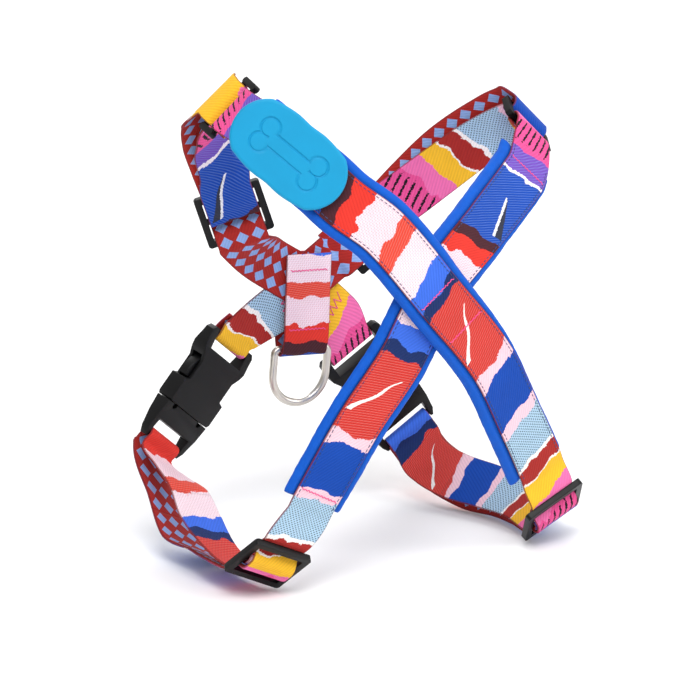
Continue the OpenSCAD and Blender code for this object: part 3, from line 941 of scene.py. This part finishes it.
@dataclass(frozen=True)
class Moulding:
    """The finish of a moulded part."""

    name: str
    colour: tuple[int, int, int]
    roughness: float
    grain: float
    shine: float

    def make(self) -> bpy.types.Material:
        """Builds the material."""
        sh = Shader(self.name)
        p = sh.point()
        fine = sh.noise(p, 2600.0, 2.0)
        broad = sh.noise(p, 60.0, 3.0)
        sh.surface("Base Color", sh.dim(srgb(*self.colour), broad * 0.16 + 0.92))
        sh.surface("Roughness", self.roughness + broad * 0.12 + fine * 0.08)
        sh.surface("Specular IOR Level", self.shine)
        sh.bump(fine + broad * 0.5, self.grain * MM, 0.5)
        return sh.material


@dataclass(frozen=True)
class NickelSteel:
    """The finish of the leash ring: satin nickel over steel wire."""

    name: str = "satin_nickel"

    def make(self) -> bpy.types.Material:
        """Builds the material."""
        sh = Shader(self.name)
        p = sh.point()
        brushed = sh.noise(p, 1400.0, 3.0, 0.6)
        cloud = sh.noise(p, 90.0, 2.0)
        sh.surface("Base Color", sh.mix(cloud, srgb(196, 190, 180), srgb(222, 217, 208)))
        sh.surface("Metallic", 1.0)
        sh.surface("Roughness", 0.22 + brushed * 0.14 + cloud * 0.08)
        sh.bump(brushed, 0.00002, 0.4)
        return sh.material


@dataclass(frozen=True)
class Thread:
    """The finish of sewing thread."""

    name: str
    colour: tuple[int, int, int]

    def make(self) -> bpy.types.Material:
        """Builds the material."""
        sh = Shader(self.name)
        twist = sh.noise(sh.point(), 3200.0, 1.0)
        sh.surface("Base Color", sh.dim(srgb(*self.colour), twist * 0.3 + 0.84))
        sh.surface("Roughness", 0.55 + twist * 0.2)
        sh.surface("Sheen Weight", 0.2)
        sh.bump(twist, 0.00005, 0.5)
        return sh.material


def dress(obj: bpy.types.Object, material: bpy.types.Material) -> bpy.types.Object:
    """Gives a piece its one material."""
    obj.data.materials.clear()
    obj.data.materials.append(material)
    return obj


# ---- stitching ----


class StitchTree:
    """Geometry nodes that sew thread along a line."""

    NODES = {
        "given": "NodeGroupInput",
        "result": "NodeGroupOutput",
        "curve": "GeometryNodeMeshToCurve",
        "points": "GeometryNodeResampleCurve",
        "ball": "GeometryNodeMeshUVSphere",
        "size": "ShaderNodeCombineXYZ",
        "tangent": "GeometryNodeInputTangent",
        "turn": "FunctionNodeAlignEulerToVector",
        "spread": "GeometryNodeInstanceOnPoints",
        "real": "GeometryNodeRealizeInstances",
        "finish": "GeometryNodeSetMaterial",
    }
    LINKS = (
        ("given", "Line", "curve", 0),
        ("curve", 0, "points", "Curve"),
        ("given", "Pitch", "points", "Length"),
        ("points", 0, "spread", "Points"),
        ("ball", "Mesh", "spread", "Instance"),
        ("tangent", 0, "turn", "Vector"),
        ("turn", 0, "spread", "Rotation"),
        ("given", "Thread", "size", 0),
        ("given", "Thread", "size", 1),
        ("given", "Length", "size", 2),
        ("size", 0, "spread", "Scale"),
        ("spread", 0, "real", 0),
        ("real", 0, "finish", "Geometry"),
        ("given", "Finish", "finish", "Material"),
        ("finish", 0, "result", 0),
    )

    def __init__(self) -> None:
        """Builds the node tree with its named inputs."""
        self.tree = bpy.data.node_groups.new("stitch_rows", "GeometryNodeTree")
        face = self.tree.interface
        face.new_socket("Line", in_out="INPUT", socket_type="NodeSocketGeometry")
        self.ids = {
            name: face.new_socket(name, in_out="INPUT", socket_type=kind).identifier
            for name, kind in (
                ("Pitch", "NodeSocketFloat"),
                ("Length", "NodeSocketFloat"),
                ("Thread", "NodeSocketFloat"),
                ("Finish", "NodeSocketMaterial"),
            )
        }
        face.new_socket("Stitches", in_out="OUTPUT", socket_type="NodeSocketGeometry")
        node = {key: self.tree.nodes.new(kind) for key, kind in self.NODES.items()}
        node["points"].mode = "LENGTH"
        for key, value in (("Segments", 6), ("Rings", 5), ("Radius", 0.5)):
            node["ball"].inputs[key].default_value = value
        node["turn"].axis = "Z"
        for source, output, target, socket in self.LINKS:
            self.tree.links.new(node[source].outputs[output], node[target].inputs[socket])

    def sew(
        self, name: str, lines: list[np.ndarray], pitch: float, length: float, thread: float, finish: bpy.types.Material
    ) -> bpy.types.Object:
        """Sews rows of stitches.

        Args:
            name: Name of the piece.
            lines: Rows of places, in millimetres.
            pitch: Distance between stitches, in millimetres.
            length: Length of a stitch, in millimetres.
            thread: Thickness of the thread, in millimetres.
            finish: Material of the thread.

        Returns:
            The stitches as one plain mesh.
        """
        verts = np.concatenate(lines) * MM
        edges, base = [], 0
        for line in lines:
            edges += [(base + k, base + k + 1) for k in range(len(line) - 1)]
            base += len(line)
        mesh = bpy.data.meshes.new(name)
        mesh.from_pydata(verts.tolist(), edges, [])
        obj = bpy.data.objects.new(name, mesh)
        bpy.context.scene.collection.objects.link(obj)
        modifier = obj.modifiers.new("rows", "NODES")
        modifier.node_group = self.tree
        for key, value in (("Pitch", pitch * MM), ("Length", length * MM), ("Thread", thread * MM), ("Finish", finish)):
            modifier[self.ids[key]] = value
        applied(obj)
        for poly in obj.data.polygons:
            poly.use_smooth = True
        return obj


# ---- sub-assemblies ----


@dataclass
class Kit:
    """The finishes and tools that every sub-assembly shares."""

    webbing: bpy.types.Material
    knit: bpy.types.Material
    plastic: bpy.types.Material
    rubber: bpy.types.Material
    nickel: bpy.types.Material
    pink_thread: bpy.types.Material
    blue_thread: bpy.types.Material
    stitches: StitchTree

    @classmethod
    def make(cls) -> "Kit":
        """Makes every shared finish."""
        return cls(
            webbing=WovenWebbing().make(),
            knit=Knit().make(),
            plastic=Moulding("black_acetal", (7, 7, 8), 0.34, 0.02, 0.26).make(),
            rubber=Moulding("cyan_rubber", (0, 146, 194), 0.46, 0.02, 0.3).make(),
            nickel=NickelSteel().make(),
            pink_thread=Thread("pink_thread", (236, 72, 140)).make(),
            blue_thread=Thread("navy_thread", (22, 44, 96)).make(),
            stitches=StitchTree(),
        )

    def tack(self, name: str, rows: list[np.ndarray]) -> None:
        """Sews dense pink rows that stay on the harness."""
        obj = self.stitches.sew(name, rows, 0.95, 1.2, 0.58, self.pink_thread)
        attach(obj, "harness")


def webbing(kit: Kit, name: str, node: str, ribbon: Ribbon, ends: tuple[int, int], art: Print) -> bpy.types.Object:
    """Makes one stretch of printed webbing in place of a CAD node."""
    piece = sweep(name, ribbon, web_section(), *ends, WEB_W, art=art)
    dress(piece, kit.webbing)
    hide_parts(node)
    return piece


def across_row(ribbon: Ribbon, k: int, half: float, lift: float, zigzag: float = 0.0, count: int = 0) -> np.ndarray:
    """Returns a row of sewing across a strap at one sample, straight or zigzag."""
    n = count or 2
    a = np.linspace(-half, half, n)
    t = unit(ribbon.p[min(k + 1, len(ribbon.p) - 1)] - ribbon.p[max(k - 1, 0)])
    shift = np.array([zigzag if i % 2 else -zigzag for i in range(n)])
    return ribbon.p[k] + ribbon.w[k] * a[:, None] + ribbon.n[k] * lift + t * shift[:, None]


@dataclass
class ChestStrap:
    """One padded strap of the chest crossing, with the webbing that runs on to its girth slider."""

    letter: str
    route: Route
    slider: Seat
    slider_body: str
    art: Print
    narrow: tuple[tuple[float, float], ...]
    tacks: tuple[float, ...] = ()

    def build(self, kit: Kit) -> None:
        """Makes the webbing, its lining and its stitching."""
        whole = Ribbon(self.route + weave(self.slider, -1))
        pad_last = whole.marks[len(self.route) - 2]
        over = whole.near(self.slider.pt(0, 0, TOP_LIFT))
        node = f"strap_{self.letter}_webbing"
        web = webbing(kit, f"chest_{self.letter}_webbing", node, whole, (0, over), self.art)
        self.slider.metres(0, -36, 0)
        self.slider.metres(0, -14, 0)
        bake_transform(web)
        self._pad(kit, whole, whole.marks[HOOK_STATIONS], pad_last)
        self._stitching(kit, whole, whole.marks[HOOK_STATIONS], pad_last)
        log.info("chest strap %s", self.letter)

    def _pad(self, kit: Kit, ribbon: Ribbon, first: int, last: int) -> None:
        """Makes the padded lining, with rolled edges and soft puckers."""
        lift = -(WEB_T + PAD_T) / 2 - SEWN
        length = ribbon.s[last] - ribbon.s[first]

        def shape(s: np.ndarray, ab: np.ndarray) -> tuple[np.ndarray, np.ndarray]:
            """Rounds the ends and adds puckers between the stitches."""
            a, b = ab
            t = (s - s[0])[:, None]
            close = np.clip(np.minimum(t, length - t) / 2.4, 0, 1)
            close = np.sqrt(1 - (1 - close) ** 2) * 0.45 + 0.55
            edge = np.clip((np.abs(a) - 12.0) / 5.0, 0, 1)
            wave = np.sin(t * 2 * math.pi / 7.3 + np.sin(t * 0.31) * 1.7) * 0.13 * edge
            wave = wave + np.sin(t * 2 * math.pi / 19.0 + 1.0) * 0.12 * edge
            back = np.where(b < 0, np.sin(t * 2 * math.pi / 11.0 + a * 0.2) * 0.07, 0.0)
            trim = np.interp(s, *zip(*self.narrow))[:, None]
            a = a - np.clip((a - 11.4) / 5.6, 0, 1) * trim - np.clip((-a - 11.4) / 5.6, 0, 1) * trim * 0.3
            return a * (0.96 + 0.04 * close), b * close + wave + back

        pad = sweep(f"chest_{self.letter}_lining", ribbon, pad_section(), first, last, PAD_W, lift, shape)
        dress(pad, kit.knit)
        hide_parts(f"strap_{self.letter}_lining")
        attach(pad, "harness")

    def _stitching(self, kit: Kit, ribbon: Ribbon, first: int, last: int) -> None:
        """Sews the edges to the lining, and the tacks across the strap."""
        lift = ON_WEB
        p, w, n = ribbon.p[first:last], ribbon.w[first:last], ribbon.n[first:last]
        lines = [p + w * side * EDGE_ROW + n * lift for side in (-1, 1)]
        edge = kit.stitches.sew(f"chest_{self.letter}_edge_stitches", lines, 2.5, 1.9, 0.46, kit.blue_thread)
        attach(edge, "harness")
        rows = []
        for s in self.tacks:
            k = int(np.argmin(np.abs(ribbon.s - s)))
            rows.append(across_row(ribbon, k, 10.4, lift, 0.35, 22))
        if rows:
            kit.tack(f"chest_{self.letter}_tacks", rows)


@dataclass
class Adjuster:
    """The doubled webbing between a slider and a ring or tongue."""

    name: str
    route: Route
    slider: Seat
    art: Print
    tongue: Seat | None = None

    @property
    def side(self) -> str:
        """The side of the harness, which ends the part's name."""
        return self.name.rsplit("_", 1)[1]

    def build(self, kit: Kit) -> None:
        """Makes the adjuster's webbing, split in three round the tongue's bar when there is a tongue."""
        ribbon = Ribbon(self.route)
        over = ribbon.near(self.slider.pt(0, 0, TOP_LIFT), 0, len(ribbon.p) // 3)
        last = len(ribbon.p) - 1
        toward = self.slider.metres(0, 38, 0), self.slider.metres(0, 14, 0)
        parts = [("", over, last)]
        if self.tongue is not None:
            bar = ribbon.near(self.tongue.pt(0, BAR_LIFT, 0))
            out_mid = int(np.argmin(np.abs(ribbon.s - (ribbon.s[bar] - 44))))
            in_mid = int(np.argmin(np.abs(ribbon.s - (ribbon.s[bar] + 40))))
            parts = [("_outer", over, out_mid), ("_turn", out_mid, in_mid), ("_inner", in_mid, last)]
        for word, first, stop in parts:
            piece = webbing(kit, f"{self.name}_webbing{word}", f"{self.name}_webbing", ribbon, (first, stop), self.art)
            if word == "_turn":
                near = self.tongue.metres(0, -30, 0), self.tongue.metres(0, -5, 0)
                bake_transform(piece)
            else:
                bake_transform(piece)
        log.info("adjuster %s", self.name)


@dataclass
class BackStrap:
    """A back webbing, from a buckle socket over the leash junction into a neck slider."""

    name: str
    route: Route
    slider: Seat
    art: Print
    start: float

    @property
    def side(self) -> str:
        """The side of the harness, which ends the part's name."""
        return self.name.rsplit("_", 1)[1]

    def build(self, kit: Kit) -> None:
        """Makes the webbing and the zigzag sewing near the socket."""
        ribbon = Ribbon(self.route + weave(self.slider, 1))
        over = ribbon.near(self.slider.pt(0, 0, TOP_LIFT))
        web = webbing(kit, f"{self.name}_webbing", f"{self.name}_webbing", ribbon, (0, over), self.art)
        ends = self.slider.metres(0, self.start, 0), self.slider.metres(0, -14, 0)
        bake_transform(web)
        k = ribbon.marks[HOOK_STATIONS] + 3
        rows = [across_row(ribbon, k, 8.5, -ON_WEB, 2.2, 10)]
        kit.tack(f"{self.name}_tack", rows)
        log.info("back strap %s", self.name)


@dataclass
class LeashTab:
    """The doubled tab that holds the leash ring."""

    art: Print

    def build(self, kit: Kit) -> None:
        """Makes the tab and its two pink seams."""
        ribbon = Ribbon(tab_route())
        tab = webbing(kit, "leash_tab_webbing", "leash_tab", ribbon, (0, len(ribbon.p) - 1), self.art)
        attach(tab, "harness")
        lift = ON_WEB
        rows = []
        for y in (20.5, -9.0):
            k = ribbon.near(JUNCTION.pt(0, y, 4), 0, len(ribbon.p) // 2)
            rows.append(across_row(ribbon, k, 9.8, lift, 0.3, 20))
        kit.tack("leash_tab_seams", rows)
        log.info("leash tab")


@dataclass
class LeashRing:
    """The welded wire ring."""

    wire: float = DEE_WIRE
    corner: float = 2.6

    def build(self, kit: Kit) -> None:
        """Sweeps round wire along the ring's outline."""
        r = (DEE_W - self.wire) / 2
        leg = DEE_H - self.wire - r
        path = [(x, 0.0) for x in np.linspace(-r + self.corner, r - self.corner, 30)]
        turn = np.radians(np.linspace(90, 0, 14))[1:]
        path += [(r - self.corner + self.corner * math.cos(q), -self.corner + self.corner * math.sin(q)) for q in turn]
        path += [(r, y) for y in np.linspace(-self.corner, -leg, 14)[1:]]
        path += [(r * math.cos(q), -leg + r * math.sin(q)) for q in np.radians(np.linspace(0, -180, 90))[1:]]
        path += [(-x, y) for x, y in [(r, y) for y in np.linspace(-leg, -self.corner, 14)[1:]]]
        path += [
            (-r + self.corner - self.corner * math.cos(q), -self.corner + self.corner * math.sin(q))
            for q in np.radians(np.linspace(0, 90, 14))[1:-1]
        ]
        flat = np.array(path)
        tangent = np.roll(flat, -1, 0) - np.roll(flat, 1, 0)
        tangent /= np.linalg.norm(tangent, axis=1)[:, None]
        side = np.stack([-tangent[:, 1], tangent[:, 0]], 1)
        m = 28
        verts = []
        for k, (x, y) in enumerate(flat):
            bead = 1 + 0.035 * math.exp(-((k - 15) / 1.6) ** 2)
            for q in np.radians(np.arange(m) * 360 / m):
                out = self.wire / 2 * bead * np.array([side[k, 0] * math.cos(q), side[k, 1] * math.cos(q)])
                verts.append(DEE.pt(x + out[0], y + out[1], self.wire / 2 * bead * math.sin(q)))
        ring = to_object("leash_ring_wire", np.array(verts), grid_faces(len(flat), m, closed=True))
        recalculate(ring)
        dress(ring, kit.nickel)
        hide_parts("leash_ring")
        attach(ring, "leash_ring")
        log.info("leash ring")


@dataclass
class Badge:
    """The figure-eight rubber badge with a sunken bone outline."""

    radius: float = 18.2
    gap: float = 25.4
    thick: float = 3.4
    seat: float = WEB_T / 2 + SEWN
    edge: float = 1.5
    groove: float = 0.55

    def _outline(self, n: int) -> tuple[np.ndarray, np.ndarray]:
        """Returns the outline and the spine point that each outline point grows from."""
        half, r = self.gap / 2, self.radius
        q = np.linspace(0, 2 * math.pi, n, endpoint=False)
        x, y = np.sin(q), np.cos(q)
        spine = np.zeros((n, 2))
        far = np.zeros((n, 2))
        for k in range(n):
            d = np.array([x[k], y[k]])
            t = np.clip(y[k] * 1.9, -1, 1)
            base = np.array([0.0, half * t])
            end = base + d * r
            waist = 1 - 0.05 * math.exp(-((end[1] / 6.0) ** 2))
            far[k] = (end[0] * waist, end[1])
            spine[k] = base
        return far, spine

    def _bone(self, p: np.ndarray) -> np.ndarray:
        """Returns the signed distance to a bone's outline, along the badge."""
        a = np.abs(p)
        shaft = np.maximum(a[:, 0] - 3.6, a[:, 1] - 13.0)
        knob = np.linalg.norm(a - np.array([4.3, 14.6]), axis=1) - 4.7
        return np.minimum(shaft, knob)

    def build(self, kit: Kit) -> None:
        """Makes the badge as rings that shrink from its outline to its spine."""
        n = 420
        far, spine = self._outline(n)
        verts = []
        levels: list[tuple[np.ndarray, np.ndarray]] = []
        depth = self.thick
        for z in (0.0, 0.25, depth * 0.5, depth - self.edge):
            inset = 0.25 if z == 0.0 else 0.0
            levels.append((far - (far - spine) * inset / self.radius, np.full(n, z)))
        for k in range(1, 9):
            q = k / 8 * math.pi / 2
            inset = self.edge * (1 - math.cos(q))
            levels.append(
                (far - (far - spine) * inset / self.radius, np.full(n, depth - self.edge + self.edge * math.sin(q)))
            )
        start = 1 - self.edge / self.radius
        for t in np.linspace(start, 0.0, 100)[1:]:
            xy = spine + (far - spine) * t
            d = np.abs(self._bone(xy))
            sunk = self.groove * np.clip(1 - (d / 0.62) ** 4, 0, 1)
            inside = np.where(self._bone(xy) < 0, 0.1, 0.0)
            levels.append((xy, depth - sunk - inside))
        for xy, z in levels:
            for k in range(n):
                verts.append(BADGE.pt(xy[k, 0], xy[k, 1], self.seat + z[k]))
        faces = grid_faces(len(levels), n)
        faces.append(tuple(reversed(range(n))))
        badge = to_object("badge_rubber", np.array(verts), faces)
        with edited(badge.data) as bm:
            bmesh.ops.remove_doubles(bm, verts=bm.verts, dist=0.00001)
            bmesh.ops.recalc_face_normals(bm, faces=bm.faces)
        dress(badge, kit.rubber)
        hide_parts("badge_cap")
        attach(badge, "harness")
        log.info("badge")


@dataclass
class Hardware:
    """The moulded black parts, with every edge eased."""

    ease: float = 0.45
    nodes: dict[str, str] = field(default_factory=dict)

    def build(self, kit: Kit) -> None:
        """Makes an eased copy of each moulded node and puts it on its body."""
        for node, body in self.nodes.items():
            source = frame["nodes"][node]
            mesh = source.data.copy()
            mesh.materials.clear()
            piece = bpy.data.objects.new(f"{node}_moulding", mesh)
            bpy.context.scene.collection.objects.link(piece)
            with edited(mesh) as bm:
                bmesh.ops.remove_doubles(bm, verts=bm.verts, dist=0.000004)
                bmesh.ops.dissolve_limit(bm, angle_limit=math.radians(2), verts=bm.verts, edges=bm.edges)
            bevel = piece.modifiers.new("eased", "BEVEL")
            bevel.width = self.ease * MM
            bevel.segments = 3
            bevel.limit_method = "ANGLE"
            bevel.angle_limit = math.radians(38)
            bevel.use_clamp_overlap = True
            applied(piece)
            for poly in piece.data.polygons:
                poly.use_smooth = True
            piece.data.set_sharp_from_angle(angle=math.radians(50))
            dress(piece, kit.plastic)
            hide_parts(node)
            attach(piece, body)
        log.info("%d moulded parts", len(self.nodes))


@dataclass(frozen=True)
class Studio:
    """A pale seamless floor, soft lights and the camera."""

    distance: float = 6.0
    view_width: float = 0.336
    target: tuple[float, float, float] = (-0.0029, 0.0111, 0.0961)
    toward: tuple[float, float, float] = (-0.4793, -0.8217, 0.309)
    lights: tuple[tuple[str, tuple[float, float, float], float, float], ...] = (
        ("key", (-0.5, -0.9, 1.6), 1.0, 26.0),
        ("fill", (1.3, -0.9, 0.9), 1.2, 12.0),
        ("rim", (0.6, 1.3, 1.2), 1.2, 14.0),
    )

    def build(self) -> None:
        """Sets the floor, the lights and the camera."""
        scene = bpy.context.scene
        scene.view_settings.view_transform = "Standard"
        world = bpy.data.worlds.new("studio")
        scene.world = world
        world.use_nodes = True
        world.node_tree.nodes["Background"].inputs[0].default_value = (1, 1, 1, 1)
        world.node_tree.nodes["Background"].inputs[1].default_value = 0.55
        self._floor()
        target, toward = Vector(self.target), Vector(self.toward).normalized()
        for name, offset, size, power in self.lights:
            self._light(name, target + Vector(offset), target, size, power)
        camera = bpy.data.cameras.new("main_camera")
        holder = bpy.data.objects.new("main_camera", camera)
        scene.collection.objects.link(holder)
        holder.location = target + toward * self.distance
        holder.rotation_euler = (-toward).to_track_quat("-Z", "Y").to_euler()
        camera.sensor_width = 36.0
        camera.lens = 36.0 * self.distance / self.view_width
        camera.clip_end = 100
        scene.camera = holder

    def _floor(self) -> None:
        """Makes the floor, wide enough to fill the view."""
        mesh = bpy.data.meshes.new("floor")
        mesh.from_pydata([(-30, -30, 0), (30, -30, 0), (30, 30, 0), (-30, 30, 0)], [], [(0, 1, 2, 3)])
        floor = bpy.data.objects.new("floor", mesh)
        bpy.context.scene.collection.objects.link(floor)
        sh = Shader("floor_paint")
        sh.surface("Base Color", (0.93, 0.93, 0.93, 1))
        sh.surface("Roughness", 0.9)
        sh.surface("Specular IOR Level", 0.1)
        mesh.materials.append(sh.material)

    def _light(self, name: str, place: Vector, target: Vector, size: float, power: float) -> None:
        """Adds one soft area light."""
        light = bpy.data.lights.new(name, "AREA")
        light.size, light.energy = size, power
        holder = bpy.data.objects.new(name, light)
        bpy.context.scene.collection.objects.link(holder)
        holder.location = place
        holder.rotation_euler = (target - place).to_track_quat("-Z", "Y").to_euler()


def main() -> None:
    """Builds every sub-assembly in order."""
    logging.basicConfig(level=logging.INFO, format="%(name)s: %(message)s")
    Studio().build()
    kit = Kit.make()
    left_crease, left_aim = JUNCTION.pt(6, 10, PITCH / 2 + 0.12), JUNCTION.pt(-40, -8, 0)
    right_crease, right_aim = JUNCTION.pt(-2, 12, -1.5 * PITCH), JUNCTION.pt(38, -18, 0)
    left_back = back_route(LEFT_BUCKLE, NECK_LEFT_SLIDER, left_crease, left_aim, (22, 29), JUNCTION.x)
    right_back = back_route(RIGHT_BUCKLE, NECK_RIGHT_SLIDER, right_crease, right_aim, (28, 22), -JUNCTION.x)
    neck_left_print = ((9, 80), (98, 198.5), (120, 209.5), (150, 235.5), (166, 252.5))
    girth_left_print = Print(((9, 210.5), (165, 311), (230, 376)), 0.1)
    girth_right_print = Print(((9, 226), (162, 376), (190, 421)), 0.1)
    parts = (
        ChestStrap("a", strap_a_route(), GIRTH_RIGHT_SLIDER, "girth_right_slider",
                   Print(STRAP_A_PRINT, 0.25), ((150, 0), (230, 3.0)), (160, 185)),
        ChestStrap("b", strap_b_route(), GIRTH_LEFT_SLIDER, "girth_left_slider",
                   Print(STRAP_B_PRINT, 0.15), ((60, 2.4), (130, 0)), (43, 246)),
        Adjuster("neck_left", NECK_LEFT_ROUTE, NECK_LEFT_SLIDER, Print(neck_left_print, -0.2, False)),
        Adjuster("neck_right", NECK_RIGHT_ROUTE, NECK_RIGHT_SLIDER, Print(((0, 15.5), (183, 198.5)), -0.2, False)),
        Adjuster("girth_left", GIRTH_LEFT_ROUTE, GIRTH_LEFT_SLIDER, girth_left_print, LEFT_BUCKLE),
        Adjuster("girth_right", GIRTH_RIGHT_ROUTE, GIRTH_RIGHT_SLIDER, girth_right_print, RIGHT_BUCKLE),
        BackStrap("back_left", left_back, NECK_LEFT_SLIDER, Print(((0, 225), (100, 125)), 0.2, False), -34.0),
        BackStrap("back_right", right_back, NECK_RIGHT_SLIDER, Print(((0, 245.5), (100, 145.5)), 0.2, False), -24.0),
        LeashTab(Print(((14, 46), (22, 35.6)), 0.05)),
        LeashRing(),
        Badge(),
    )
    for part in parts:
        part.build(kit)
    bodies = {
        node: body
        for body, nodes in frame["record"]["behaviour"]["bodies"].items()
        for node in nodes
    }
    words = ("slider", "_ring", "socket", "tongue", "prong")
    moulded = {n: b for n, b in bodies.items() if any(w in n for w in words) and n != "leash_ring"}
    Hardware(nodes=moulded).build(kit)


if __name__ == "__main__":
    main()
